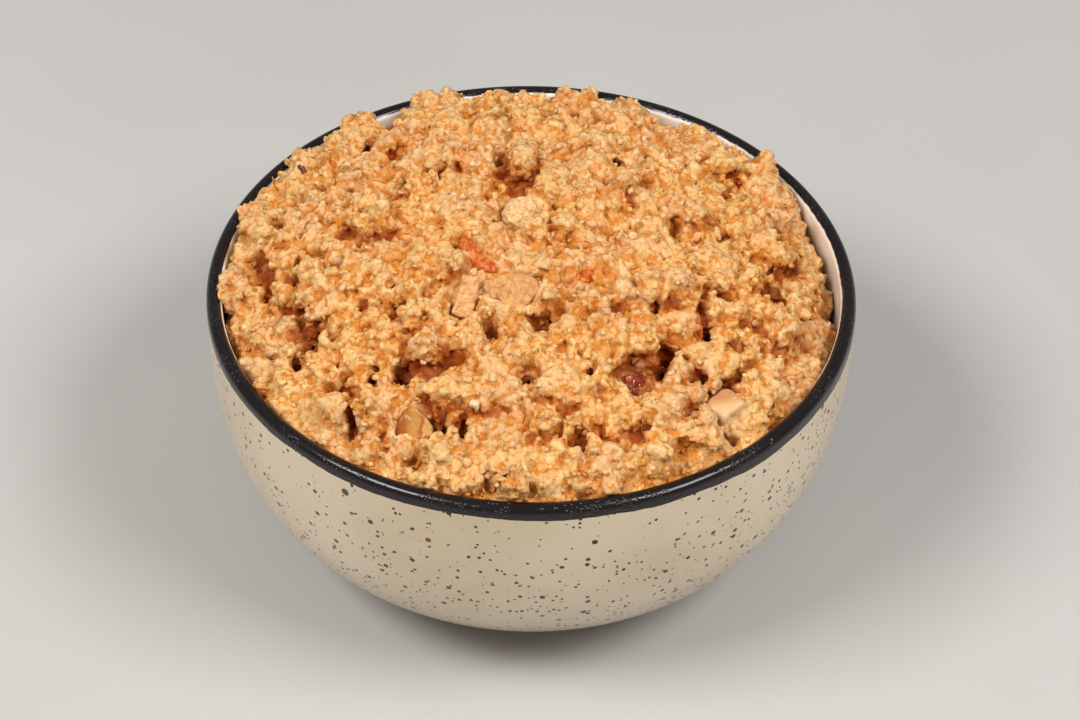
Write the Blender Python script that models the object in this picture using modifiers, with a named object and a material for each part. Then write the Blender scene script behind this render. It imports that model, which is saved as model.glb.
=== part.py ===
# Crumbly halwa heaped in a round stoneware bowl, with nut pieces in its surface.
#
# Metres, +Z up. The origin is the centre of the foot ring, on the surface the bowl stands on.
# -Y is the front, where the heap lies close to the rim. Every solid is closed, and touching
# pieces keep a gap of GAP between them.

import math
import random

import bmesh
import bpy
from mathutils import Euler, Vector, noise

MM = 0.001
GAP = 0.35 * MM

# Bowl: one turned piece of stoneware
RIM_RADIUS = 70.0 * MM          # outermost ring of the rim
RIM_TOP = 64.5 * MM             # highest point of the rim
BEAD_RADIUS = 1.7 * MM          # the rim is rounded like a bead
FOOT_RADIUS = 33.6 * MM         # where the wall leaves the foot ring
FOOT_HEIGHT = 3.5 * MM
FOOT_WIDTH = 5.4 * MM           # of the ring that stands on the table
FOOT_ROUNDING = 0.7 * MM
RECESS_HEIGHT = 3.0 * MM        # hollow under the base, inside the foot ring
WALL_FLARE = 2.95               # how fast the wall turns upright
WALL_FULLNESS = 1.67            # how far it bellies out low down
FLOOR_THICKNESS = 4.6 * MM
DARK_BAND = 2.6 * MM            # dark glaze, measured down from the top of the rim
TURN_STEPS = 48
CORE_STEPS = 24                 # half of the bowl's, so that the core's flats lie inside the bowl's
WALL_STEPS = 8
BEAD_STEPS = 6

# Heap: a core inside the bowl, with clumps of halwa stuck to its top
CROWN = 17.0 * MM               # how far the middle stands above the rim
CROWN_POWER = 2.6               # 2 is a round dome, more is a flatter one with steeper sides
WALL_LEVELS = (                 # compass angle, and how far under the rim the heap meets the wall
    (0, 8.0 * MM),
    (32, 2.0 * MM),
    (60, 3.0 * MM),
    (95, 3.0 * MM),
    (118, 0.5 * MM),
    (150, 0.0 * MM),
    (172, 1.5 * MM),
    (192, 9.5 * MM),
    (222, 4.5 * MM),
    (270, 1.5 * MM),
    (305, 2.5 * MM),
    (335, 6.5 * MM),
    (360, 8.0 * MM),
)
CORE_DEPTH = 6.2 * MM           # the core's top lies this far under the tops of the clumps
CORE_RINGS = 5
CORE_UNEVEN = 1.3 * MM
CLUMP_SIZES = (                 # how many, smallest and largest radius, spacing; largest first
    (26, 6.0 * MM, 7.4 * MM, 0.80),
    (56, 4.7 * MM, 6.0 * MM, 0.78),
    (100, 3.3 * MM, 4.6 * MM, 0.76),
)
SMALL_CLUMP = 5.3 * MM          # up to this radius a clump has 20 faces, above it 24 four-sided ones
CLUMP_TRIES = 60                # throws for each clump before it is left out
CLUMP_SINK = 0.85               # a clump's centre lies this many radii under its top
CLUMP_LIFT = (-1.6 * MM, 0.9 * MM)
CLUMP_UNEVEN = 0.45
SEED = 21

# Clumps that stand up along the rim: compass angle, reach, top above the rim, radius
RIM_CLUMPS = (
    (137, 60.5, 6.5, 5.4),
    (127, 60.0, 8.0, 5.0),
    (111, 60.5, 5.8, 5.0),
    (78, 60.8, 4.2, 4.6),
    (67, 60.5, 3.6, 4.6),
    (53, 61.0, 2.6, 4.8),
    (29, 61.8, 2.6, 3.9),
    (152, 60.5, 4.0, 5.2),
    (172, 61.8, 1.8, 4.4),
)

# Pits between the clumps, where the core shows: x, y, radius
PITS = (
    (-8.5, -27.5, 2.4), (-26.8, -34.5, 2.0), (-37.5, -45.5, 1.8), (-22.5, -58.0, 1.8),
    (-13.5, -61.5, 1.6), (-49.5, -23.0, 2.4), (-14.5, -51.0, 1.4), (-55.0, -33.0, 1.8),
    (27.5, -30.5, 2.0), (40.0, -36.5, 1.6), (59.5, -23.5, 2.4), (9.5, -55.0, 1.8),
    (12.5, -37.5, 1.2), (34.0, -35.5, 1.2), (25.0, 17.5, 1.8), (17.0, 1.5, 1.4),
    (20.0, 28.0, 2.0), (46.5, 18.5, 1.8), (35.5, -7.5, 1.4), (52.5, -4.0, 2.6),
    (62.5, 1.5, 2.2), (9.0, -15.5, 1.2), (1.0, -27.0, 1.6), (-15.0, 15.5, 1.6),
    (-42.5, 8.5, 1.6), (-63.5, 3.0, 2.6), (-40.5, 26.5, 1.6),
)

# Nut pieces: place, how far the centre lies under the tops of the clumps, turn in degrees,
# and the radius that the clumps leave clear
NUTS = {
    "cashew_chunk": {"at": (40.0, -41.6), "sink": 1.4, "turn": (8, -7, 44), "clear": 4.0},
    "almond_piece": {"at": (-23.5, -50.0), "sink": 2.0, "turn": (52, -8, 12), "clear": 4.4},
    "raisin_piece": {"at": (22.0, -39.0), "sink": 4.0, "turn": (10, 12, 20), "clear": 3.0},
    "nut_flake_1": {"at": (-3.8, -20.5), "sink": 1.5, "turn": (24, 4, 8), "clear": 4.4},
    "nut_flake_2": {"at": (-13.4, -21.5), "sink": 1.0, "turn": (46, 14, -6), "clear": 2.8},
    "coated_nut": {"at": (-2.5, 6.0), "sink": 3.0, "turn": (15, 5, 70), "clear": 3.8},
}
CASHEW_SIZE = (6.8, 5.8, 6.4)
CASHEW_CUTS = (                 # outward direction and distance of each knife cut
    ((1.0, 0.8, 0.6), 4.5),
    ((-1.0, 0.9, 0.3), 4.1),
    ((-0.4, -0.5, 1.0), 4.2),
)
CASHEW_BEVEL = 0.45
ALMOND_SIZE = (8.2, 10.4, 6.2)
ALMOND_CUT = 1.1                # the knife passes this far from the middle
RAISIN_SIZE = (7.4, 5.2, 4.2)
RAISIN_WRINKLE = 0.28
COATED_SIZE = (9.6, 7.6, 6.6)
COATED_UNEVEN = 0.16
FLAKE_THICKNESS = 1.8
FLAKE_OUTLINES = {
    "nut_flake_1": ((-6.4, 1.6), (-2.2, 4.0), (4.6, 3.4), (6.2, 0.4), (1.6, -4.2), (-3.8, -3.0)),
    "nut_flake_2": ((-2.2, -4.6), (1.8, -4.9), (2.5, 0.4), (1.3, 4.6), (-1.9, 3.9)),
}
FLAKE_BEVEL = 0.35


# Profiles

def outer_wall(share):
    """A point of the outer wall, share 0 at the foot and 1 at the rim."""
    swell = (1 - (1 - share) ** WALL_FLARE) ** (1 / WALL_FULLNESS)
    radius = FOOT_RADIUS + (RIM_RADIUS - FOOT_RADIUS) * swell
    height = FOOT_HEIGHT + (RIM_TOP - BEAD_RADIUS - FOOT_HEIGHT) * share
    return radius, height


def inner_wall(share, clearance):
    """The point across the wall from outer_wall(share), clearance off the inside."""
    step = 0.002
    low = outer_wall(max(share - step, 0.0))
    high = outer_wall(min(share + step, 1.0))
    length = math.dist(low, high)
    normal = ((high[1] - low[1]) / length, (low[0] - high[0]) / length)
    radius, height = outer_wall(share)
    thickness = FLOOR_THICKNESS + (2 * BEAD_RADIUS - FLOOR_THICKNESS) * share + clearance
    return radius - normal[0] * thickness, height - normal[1] * thickness


def wall_shares():
    """Shares from the rim down to the foot, closer together where the wall curves most."""
    return [(1 - step / WALL_STEPS) ** 1.7 for step in range(WALL_STEPS + 1)]


def inner_profile(clearance):
    """The hollow's outline from the rim down to the axis."""
    points = [inner_wall(share, clearance) for share in wall_shares()]
    points.append((0.0, points[-1][1]))
    return points


def bowl_profile():
    """Closed outline: down the outside, round the foot, and up the inside to the bead."""
    ring_inner = FOOT_RADIUS - FOOT_WIDTH - FOOT_ROUNDING
    band_share = 1 - (DARK_BAND - BEAD_RADIUS) / (RIM_TOP - BEAD_RADIUS - FOOT_HEIGHT)
    points = [outer_wall(share) for share in wall_shares()]
    points.insert(1, outer_wall(band_share))
    points += [
        (FOOT_RADIUS - 0.3 * FOOT_ROUNDING, FOOT_ROUNDING),
        (FOOT_RADIUS - FOOT_ROUNDING, 0.0),
        (ring_inner + FOOT_ROUNDING, 0.0),
        (ring_inner, FOOT_ROUNDING),
        (ring_inner - FOOT_ROUNDING, RECESS_HEIGHT),
        (0.0, RECESS_HEIGHT),
    ]
    points += reversed(inner_profile(0.0))
    centre = RIM_RADIUS - BEAD_RADIUS
    for step in range(1, BEAD_STEPS):
        turn = math.pi * (1 - step / BEAD_STEPS)
        points.append((centre + BEAD_RADIUS * math.cos(turn),
                       RIM_TOP - BEAD_RADIUS + BEAD_RADIUS * math.sin(turn)))
    points.append(points[0])
    return points


HOLLOW = sorted((height, radius) for radius, height in inner_profile(GAP))


def hollow_radius(height):
    """Radius that is free inside the bowl at a height."""
    for (a, low), (b, high) in zip(HOLLOW, HOLLOW[1:]):
        if a <= height <= b and b > a:
            return low + (high - low) * (height - a) / (b - a)
    return HOLLOW[0][1] if height < HOLLOW[0][0] else HOLLOW[-1][1]


# Objects

def make_material(name, colour, roughness):
    material = bpy.data.materials.new(name)
    material.use_nodes = True
    shader = material.node_tree.nodes["Principled BSDF"]
    shader.inputs["Base Color"].default_value = (*colour, 1.0)
    shader.inputs["Roughness"].default_value = roughness
    shader.inputs["Metallic"].default_value = 0.0
    return material


def make_object(name, mesh, collection):
    item = bpy.data.objects.new(name, mesh)
    collection.objects.link(item)
    return item


def make_collection(name):
    collection = bpy.data.collections.new(name)
    bpy.context.scene.collection.children.link(collection)
    return collection


def mesh_from(bm, name):
    mesh = bpy.data.meshes.new(name)
    bm.to_mesh(mesh)
    bm.free()
    return mesh


def apply_modifiers(item):
    """Puts the evaluated mesh in place of the object's own."""
    graph = bpy.context.evaluated_depsgraph_get()
    graph.update()
    item.data = bpy.data.meshes.new_from_object(item.evaluated_get(graph), depsgraph=graph)
    item.modifiers.clear()


def turn_profile(name, points, collection, steps):
    """A solid turned about Z from an outline that runs down its outer side."""
    mesh = bpy.data.meshes.new(name)
    edges = [(index, index + 1) for index in range(len(points) - 1)]
    mesh.from_pydata([(radius, 0.0, height) for radius, height in points], edges, [])
    item = make_object(name, mesh, collection)
    screw = item.modifiers.new("Turn", "SCREW")
    screw.steps = steps
    screw.render_steps = steps
    screw.use_merge_vertices = True
    screw.merge_threshold = 0.00001
    screw.use_smooth_shade = True
    apply_modifiers(item)
    return item


def boolean_with(item, operand, operation):
    """Applies one Boolean with a whole collection, then removes the collection.

    The EXACT solver leaves open edges on this many clumps, and MANIFOLD doesn't.
    """
    boolean = item.modifiers.new("Boolean", "BOOLEAN")
    boolean.operation = operation
    boolean.operand_type = "COLLECTION"
    boolean.collection = operand
    boolean.solver = "MANIFOLD"
    apply_modifiers(item)
    for piece in list(operand.objects):
        bpy.data.objects.remove(piece)
    bpy.data.collections.remove(operand)


def keep_largest_shell(mesh):
    """Drops loose scraps and fills sealed hollows: only the outermost closed surface stays."""
    bm = bmesh.new()
    bm.from_mesh(mesh)
    unseen = set(bm.verts)
    shells = []
    while unseen:
        front = [unseen.pop()]
        shell = list(front)
        while front:
            for edge in front.pop().link_edges:
                for vert in edge.verts:
                    if vert in unseen:
                        unseen.remove(vert)
                        shell.append(vert)
                        front.append(vert)
        shells.append(shell)
    shells.sort(key=len)
    for shell in shells[:-1]:
        bmesh.ops.delete(bm, geom=shell, context="VERTS")
    bm.to_mesh(mesh)
    bm.free()


# Bowl

def make_bowl(collection):
    bowl = turn_profile("bowl", bowl_profile(), collection, TURN_STEPS)
    bowl.data.materials.append(make_material("cream_glaze", (0.66, 0.60, 0.47), 0.25))
    bowl.data.materials.append(make_material("dark_rim_glaze", (0.018, 0.014, 0.014), 0.2))
    for face in bowl.data.polygons:
        if face.center.z > RIM_TOP - DARK_BAND:
            face.material_index = 1


# Heap

def wall_level(angle):
    """Height where the tops of the clumps meet the wall at this compass angle."""
    angle = math.degrees(angle) % 360
    for (a, low), (b, high) in zip(WALL_LEVELS, WALL_LEVELS[1:]):
        if a <= angle <= b:
            ease = (1 - math.cos(math.pi * (angle - a) / (b - a))) / 2
            return RIM_TOP - low - (high - low) * ease


def heap_level(x, y):
    """Height of the tops of the clumps over a point of the heap."""
    edge = wall_level(math.atan2(y, x))
    share = min(math.hypot(x, y) / hollow_radius(edge), 1.0)
    return edge + (RIM_TOP + CROWN - edge) * (1 - share ** CROWN_POWER)


def make_core(collection):
    """Fills the bowl to a little under the clumps: turned, then its top set to the heap's form."""
    lowest = RIM_TOP - max(depth for _, depth in WALL_LEVELS) - CORE_DEPTH - 2 * MM
    rim = hollow_radius(lowest)
    top = [(rim * ring / CORE_RINGS, lowest) for ring in range(CORE_RINGS + 1)]
    side = [point for point in inner_profile(GAP) if point[1] < lowest]
    core = turn_profile("halwa", top + side, collection, CORE_STEPS)
    for vert in core.data.vertices:
        if vert.co.z < lowest - 0.1 * MM:
            continue
        angle = math.atan2(vert.co.y, vert.co.x)
        share = vert.co.xy.length / rim
        radius = share * hollow_radius(wall_level(angle) - CORE_DEPTH)
        x = radius * math.cos(angle)
        y = radius * math.sin(angle)
        bump = CORE_UNEVEN * noise.noise(Vector((x, y, 0)) / (5 * MM))
        vert.co = (x, y, heap_level(x, y) - CORE_DEPTH + bump * (1 - share ** 8))
    return core


def clump_mesh(centre, radius, rng):
    """An uneven lump: a round cage pushed in and out, kept inside the bowl."""
    bm = bmesh.new()
    if radius > SMALL_CLUMP:
        bmesh.ops.create_cube(bm, size=2.0)
        bmesh.ops.subdivide_edges(bm, edges=bm.edges[:], cuts=1, use_grid_fill=True)
    else:
        bmesh.ops.create_icosphere(bm, subdivisions=1, radius=1.0)
    shape = Vector((rng.uniform(0.85, 1.2), rng.uniform(0.85, 1.2), rng.uniform(0.8, 1.05)))
    turn = Euler([rng.uniform(0, math.tau) for _ in range(3)]).to_matrix()
    offset = Vector([rng.uniform(-50, 50) for _ in range(3)])
    for vert in bm.verts:
        corner = vert.co.normalized()
        bump = 1 + CLUMP_UNEVEN * noise.noise(corner * 1.6 + offset)
        point = (turn @ (corner * bump)) * shape * radius + centre
        reach = point.xy.length
        room = hollow_radius(point.z) - 0.2 * MM
        if reach > room:
            point.x *= room / reach
            point.y *= room / reach
        vert.co = point
    return mesh_from(bm, "clump")


def clump_places(rng):
    """Centre and radius of each clump: the named ones on the rim, then seeded throws, the
    largest first, kept apart and clear of the pits and the nuts."""
    keep_out = [(x * MM, y * MM, radius * MM) for x, y, radius in PITS]
    keep_out += [(nut["at"][0] * MM, nut["at"][1] * MM, nut["clear"] * MM) for nut in NUTS.values()]
    places = []
    for angle, reach, rise, radius in RIM_CLUMPS:
        x = reach * MM * math.cos(math.radians(angle))
        y = reach * MM * math.sin(math.radians(angle))
        z = RIM_TOP + (rise - CLUMP_SINK * radius) * MM
        places.append((Vector((x, y, z)), radius * MM))
    for count, smallest, largest, spacing in CLUMP_SIZES:
        for attempt in range(count * CLUMP_TRIES):
            radius = rng.uniform(smallest, largest)
            angle = rng.uniform(0, math.tau)
            reach = (hollow_radius(RIM_TOP) - 0.75 * radius) * math.sqrt(rng.random())
            x = reach * math.cos(angle)
            y = reach * math.sin(angle)
            if any(math.hypot(x - a, y - b) < 0.72 * radius + c for a, b, c in keep_out):
                continue
            if any(math.hypot(x - p.x, y - p.y) < spacing * (radius + r) for p, r in places):
                continue
            top = heap_level(x, y) + rng.uniform(*CLUMP_LIFT)
            rooted = heap_level(x, y) - CORE_DEPTH + 0.6 * radius
            places.append((Vector((x, y, min(top - CLUMP_SINK * radius, rooted))), radius))
            count -= 1
            if not count:
                break
    return places


def make_halwa(collection, pockets):
    rng = random.Random(SEED)
    halwa = make_core(collection)
    clumps = make_collection("clumps")
    for centre, radius in clump_places(rng):
        make_object("clump", clump_mesh(centre, radius, rng), clumps)
    boolean_with(halwa, clumps, "UNION")
    boolean_with(halwa, pockets, "DIFFERENCE")
    keep_largest_shell(halwa.data)
    halwa.data.materials.clear()
    halwa.data.materials.append(make_material("halwa", (0.70, 0.36, 0.12), 0.5))


# Nuts, in millimetres

def cut_cashew():
    """A knife-cut block with a few blunt corners."""
    bm = bmesh.new()
    bmesh.ops.create_cube(bm, size=1.0)
    bmesh.ops.scale(bm, vec=CASHEW_SIZE, verts=bm.verts)
    for direction, distance in CASHEW_CUTS:
        normal = Vector(direction).normalized()
        cut = bmesh.ops.bisect_plane(bm, geom=bm.verts[:] + bm.edges[:] + bm.faces[:],
                                     plane_co=normal * distance, plane_no=normal, clear_outer=True)
        rim = [part for part in cut["geom_cut"] if isinstance(part, bmesh.types.BMEdge)]
        bmesh.ops.contextual_create(bm, geom=rim)
    bmesh.ops.bevel(bm, geom=bm.edges[:], offset=CASHEW_BEVEL, segments=1, affect="EDGES")
    return bm


def cut_almond():
    """A slice of an almond: its round skin side, and the flat side the knife left."""
    bm = bmesh.new()
    bmesh.ops.create_uvsphere(bm, u_segments=12, v_segments=8, radius=0.5)
    for vert in bm.verts:
        taper = 1 - 0.55 * max(vert.co.y, 0.0)
        vert.co = vert.co * Vector((taper, 1.0, taper)) * Vector(ALMOND_SIZE)
    cut = bmesh.ops.bisect_plane(bm, geom=bm.verts[:] + bm.edges[:] + bm.faces[:],
                                 plane_co=(0, 0, ALMOND_CUT), plane_no=(0, 0, 1), clear_outer=True)
    rim = [part for part in cut["geom_cut"] if isinstance(part, bmesh.types.BMEdge)]
    bmesh.ops.contextual_create(bm, geom=rim)
    return bm


def uneven_lump(size, depth):
    bm = bmesh.new()
    bmesh.ops.create_icosphere(bm, subdivisions=2, radius=0.5)
    for vert in bm.verts:
        push = 1 + depth * noise.noise(vert.co * 6.0)
        vert.co = vert.co * push * Vector(size)
    return bm


def cut_flake(outline):
    """A thin slice with a polygon for its outline and blunt edges."""
    bm = bmesh.new()
    verts = [bm.verts.new((x, y, -FLAKE_THICKNESS / 2)) for x, y in reversed(outline)]
    face = bm.faces.new(verts)
    raised = bmesh.ops.extrude_face_region(bm, geom=[face])
    moved = [part for part in raised["geom"] if isinstance(part, bmesh.types.BMVert)]
    bmesh.ops.translate(bm, vec=(0, 0, FLAKE_THICKNESS), verts=moved)
    bmesh.ops.bevel(bm, geom=bm.edges[:], offset=FLAKE_BEVEL, segments=1, affect="EDGES")
    bmesh.ops.recalc_face_normals(bm, faces=bm.faces)
    return bm


def nut_form(name):
    if name == "cashew_chunk":
        return cut_cashew()
    if name == "almond_piece":
        return cut_almond()
    if name == "raisin_piece":
        return uneven_lump(RAISIN_SIZE, RAISIN_WRINKLE)
    if name == "coated_nut":
        return uneven_lump(COATED_SIZE, COATED_UNEVEN)
    return cut_flake(FLAKE_OUTLINES[name])


NUT_COLOURS = {
    "cashew_chunk": (0.80, 0.58, 0.36),
    "almond_piece": (0.52, 0.24, 0.06),
    "raisin_piece": (0.30, 0.08, 0.03),
    "nut_flake_1": (0.72, 0.40, 0.16),
    "nut_flake_2": (0.78, 0.50, 0.24),
    "coated_nut": (0.76, 0.46, 0.20),
}


def place_nut(name, collection, growth):
    """Builds one nut piece where it lies, swollen by growth for its pocket in the halwa."""
    nut = NUTS[name]
    bm = nut_form(name)
    bm.normal_update()
    grown = [vert.co + vert.normal * growth / MM for vert in bm.verts]
    x, y = (value * MM for value in nut["at"])
    for vert, place in zip(bm.verts, grown):
        vert.co = place * MM
    item = make_object(name, mesh_from(bm, name), collection)
    item.location = (x, y, heap_level(x, y) - nut["sink"] * MM)
    item.rotation_euler = [math.radians(angle) for angle in nut["turn"]]
    return item


def make_nuts(collection, pockets):
    for name, colour in NUT_COLOURS.items():
        item = place_nut(name, collection, 0.0)
        item.data.materials.append(make_material(name, colour, 0.4))
        pocket = place_nut(name, pockets, 1.4 * GAP)
        pocket.name = name + "_pocket"
        pocket.hide_render = True
        pocket.display_type = "WIRE"


def main():
    for item in list(bpy.data.objects):
        bpy.data.objects.remove(item)
    collection = make_collection("halwa_bowl")
    pockets = make_collection("pockets")
    make_bowl(collection)
    make_nuts(collection, pockets)
    make_halwa(collection, pockets)


main()
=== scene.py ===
import math

import bmesh
import bpy
import numpy as np
from mathutils import Matrix, Vector, noise
from mathutils.bvhtree import BVHTree


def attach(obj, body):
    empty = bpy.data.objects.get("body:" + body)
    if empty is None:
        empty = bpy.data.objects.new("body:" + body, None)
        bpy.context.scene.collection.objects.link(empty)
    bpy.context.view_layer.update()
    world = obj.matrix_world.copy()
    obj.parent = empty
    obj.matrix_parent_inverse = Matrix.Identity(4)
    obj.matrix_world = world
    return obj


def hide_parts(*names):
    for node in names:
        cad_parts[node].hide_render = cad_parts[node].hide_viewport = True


# Crumbly halwa heaped in a speckled stoneware bowl. Metres, +Z up, -Y towards the camera.

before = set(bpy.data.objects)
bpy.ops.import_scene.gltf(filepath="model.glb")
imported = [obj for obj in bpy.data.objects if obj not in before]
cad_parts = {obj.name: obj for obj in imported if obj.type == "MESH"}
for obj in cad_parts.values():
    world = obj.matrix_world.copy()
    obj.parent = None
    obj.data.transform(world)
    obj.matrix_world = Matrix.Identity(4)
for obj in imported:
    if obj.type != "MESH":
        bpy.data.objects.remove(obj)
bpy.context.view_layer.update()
mm = 0.001
scene = bpy.context.scene
noise.seed_set(7)  # noise_vector would otherwise change from run to run


# Node trees

class Wire:
    # A socket of a node tree. Sums on it add Math nodes, and make() adds any other node.
    def __init__(self, tree, socket=None):
        self.tree = tree
        self.socket = socket

    def make(self, kind, values, output=0, **settings):
        node = self.tree.nodes.new(kind)
        for name, setting in settings.items():
            setattr(node, name, setting)
        for key, value in values.items():
            if isinstance(value, Wire):
                self.tree.links.new(value.socket, node.inputs[key])
            else:
                node.inputs[key].default_value = value
        return Wire(self.tree, node.outputs[output] if len(node.outputs) else None)

    def calc(self, operation, *values):
        return self.make("ShaderNodeMath", dict(enumerate(values)), operation=operation)

    def then(self, operation, *others):
        return self.calc(operation, self, *others)

    def vector(self, operation, other, output=0):
        return self.make("ShaderNodeVectorMath", {0: self, 1: other}, output, operation=operation)

    def scaled(self, factor):
        return self.make("ShaderNodeVectorMath", {0: self, "Scale": factor}, operation="SCALE")

    def part(self, axis):
        return self.make("ShaderNodeSeparateXYZ", {0: self}, axis)

    def channel(self, index):
        return self.make("ShaderNodeSeparateColor", {0: self}, index)

    def __add__(self, other):
        return self.then("ADD", other)

    def __sub__(self, other):
        return self.then("SUBTRACT", other)

    def __rsub__(self, other):
        return self.calc("SUBTRACT", other, self)

    def __mul__(self, other):
        return self.then("MULTIPLY", other)

    def __truediv__(self, other):
        return self.then("DIVIDE", other)

    def __rtruediv__(self, other):
        return self.calc("DIVIDE", other, self)

    __radd__ = __add__
    __rmul__ = __mul__


def fade(value, low, high):
    # 0 at low, 1 at high, and smooth between
    ends = {0: value, 1: low, 2: high}
    return value.make("ShaderNodeMapRange", ends, interpolation_type="SMOOTHSTEP")


def mixColours(factor, first, second):
    ends = [(*end, 1.0) if isinstance(end, tuple) else end for end in (first, second)]
    return factor.make("ShaderNodeMix", {0: factor, 6: ends[0], 7: ends[1]}, 2, data_type="RGBA")


def grain(place, size, detail=2.0, output=0):
    # Noise with lumps of about this size, mostly from 0.3 to 0.7
    values = {"Vector": place, "Scale": 1 / size, "Detail": detail}
    return place.make("ShaderNodeTexNoise", values, output)


def stir(place, size, reach):
    # The place, moved up to this far, so that what is drawn on it comes out uneven
    return place.vector("ADD", grain(place, size, output="Color").scaled(reach))


def jolt(place, size, reach, detail):
    # An uneven push, to no side more than to another
    return grain(place, size, detail, "Color").vector("SUBTRACT", (0.5, 0.5, 0.5)).scaled(reach)


def cells(place, size, feature="F1", output="Distance"):
    values = {"Vector": place, "Scale": 1 / size}
    return place.make("ShaderNodeTexVoronoi", values, output, feature=feature)


def hump(place, size, spread):
    # 1 in the middle of each cell, falling to 0 at this share of its size
    away = cells(place, size) / spread
    return (1 - away * away).then("MAXIMUM", 0.0)


def bump(height, distance, under=None):
    values = {"Height": height, "Distance": distance}
    if under is not None:
        values["Normal"] = under
    return height.make("ShaderNodeBump", values)


def startMaterial(name):
    # The material, and Object coordinates to build it on
    material = bpy.data.materials.new(name)
    material.use_nodes = True
    material.node_tree.nodes.clear()
    return material, Wire(material.node_tree).make("ShaderNodeTexCoord", {}, "Object")


def finishMaterial(material, values):
    start = Wire(material.node_tree)
    shader = start.make("ShaderNodeBsdfPrincipled", values)
    start.make("ShaderNodeOutputMaterial", {"Surface": shader})
    return material


def attribute(place, name):
    return place.make("ShaderNodeAttribute", {}, "Fac", attribute_name=name)


def startTree(name, inputs):
    # A Geometry Nodes tree with these named inputs, and a wire from each
    tree = bpy.data.node_groups.new(name, "GeometryNodeTree")
    for label, kind in inputs.items():
        tree.interface.new_socket(label, in_out="INPUT", socket_type="NodeSocket" + kind)
    tree.interface.new_socket("Shape", in_out="OUTPUT", socket_type="NodeSocketGeometry")
    source = tree.nodes.new("NodeGroupInput")
    return Wire(tree), {label: Wire(tree, source.outputs[label]) for label in inputs}


def finishTree(shape):
    shape.make("NodeGroupOutput", {"Shape": shape})
    return shape.tree


def keepAttribute(shape, name, value, kind="FLOAT", domain="POINT"):
    return shape.make("GeometryNodeStoreNamedAttribute", {
        "Geometry": shape, "Name": name, "Value": value}, data_type=kind, domain=domain)


def moveBy(shape, offset):
    return shape.make("GeometryNodeSetPosition", {"Geometry": shape, "Offset": offset})


# Meshes

def addObject(name, mesh):
    item = bpy.data.objects.new(name, mesh)
    scene.collection.objects.link(item)
    return item


def bake(item):
    # Puts the evaluated mesh in place of the object's own and drops the modifiers
    graph = bpy.context.evaluated_depsgraph_get()
    graph.update()
    item.data = bpy.data.meshes.new_from_object(
        item.evaluated_get(graph), preserve_all_data_layers=True, depsgraph=graph)
    item.modifiers.clear()


def grow(name, mesh, tree, values):
    # Runs a Geometry Nodes tree on a mesh and keeps the result as a plain mesh
    item = addObject(name, mesh)
    modifier = item.modifiers.new("grow", "NODES")
    modifier.node_group = tree
    for socket in tree.interface.items_tree:
        if socket.in_out == "INPUT" and socket.name in values:
            modifier[socket.identifier] = values[socket.name]
    bake(item)
    return item


def growOn(item, tree, values):
    # The same, in place of the item's own mesh
    grown = grow(item.name, item.data, tree, values)
    item.data = grown.data
    bpy.data.objects.remove(grown)


def mergedCopy(node):
    bm = bmesh.new()
    bm.from_mesh(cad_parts[node].data)
    bmesh.ops.remove_doubles(bm, verts=bm.verts, dist=0.001 * mm)
    return bm


def meshOf(bm, name):
    mesh = bpy.data.meshes.new(name)
    bm.to_mesh(mesh)
    bm.free()
    return mesh


def vectorsOf(parts, name):
    values = np.empty(len(parts) * 3, np.float32)
    parts.foreach_get(name, values)
    return values.reshape(-1, 3).astype(float)


def placesOf(mesh):
    return vectorsOf(mesh.vertices, "co")


def normalsOf(mesh):
    return vectorsOf(mesh.vertex_normals, "vector")


def setPlaces(mesh, places):
    mesh.vertices.foreach_set("co", places.astype(np.float32).ravel())
    mesh.update()


def setAttribute(mesh, name, values):
    layer = mesh.attributes.new(name, "FLOAT", "POINT")
    layer.data.foreach_set("value", np.asarray(values, np.float32))


def setMap(mesh, points):
    # Gives the mesh a UV map from a place for each vertex
    corners = np.empty(len(mesh.loops), np.int32)
    mesh.loops.foreach_get("vertex_index", corners)
    layer = mesh.uv_layers.new(name="OFBake")
    layer.uv.foreach_set("vector", points[corners].astype(np.float32).ravel())


def smoothstep(values, low, high):
    share = np.clip((values - low) / (high - low), 0, 1)
    return share * share * (3 - 2 * share)


def fromAxis(places):
    return np.hypot(places[:, 0], places[:, 1])


def noiseAt(places, size):
    return np.array([noise.noise(Vector(place) / size) for place in places])


def searchTree(mesh):
    return BVHTree.FromPolygons([v.co for v in mesh.vertices], [p.vertices for p in mesh.polygons])


def distanceTo(mesh, places, farthest):
    tree = searchTree(mesh)
    hits = [tree.find_nearest(place, farthest)[3] for place in places]
    return np.array([farthest if hit is None else hit for hit in hits])


def push(mesh, amount):
    setPlaces(mesh, placesOf(mesh) + normalsOf(mesh) * amount)


def remesh(item, voxel, rounding):
    modifier = item.modifiers.new("evenFaces", "REMESH")
    modifier.mode = "VOXEL"
    modifier.voxel_size = voxel
    modifier = item.modifiers.new("roundOff", "SMOOTH")
    modifier.iterations = rounding
    bake(item)


def finishPiece(item, material, nodes):
    item.data.materials.clear()
    item.data.materials.append(material)
    item.data.shade_smooth()
    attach(item, "root")
    if nodes:
        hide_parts(*nodes)
    item.data.calc_loop_triangles()
    print("made", item.name, len(item.data.loop_triangles), "triangles")


# Bowl: one turned piece, glazed cream outside and in, with a dark band round the rim

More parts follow.
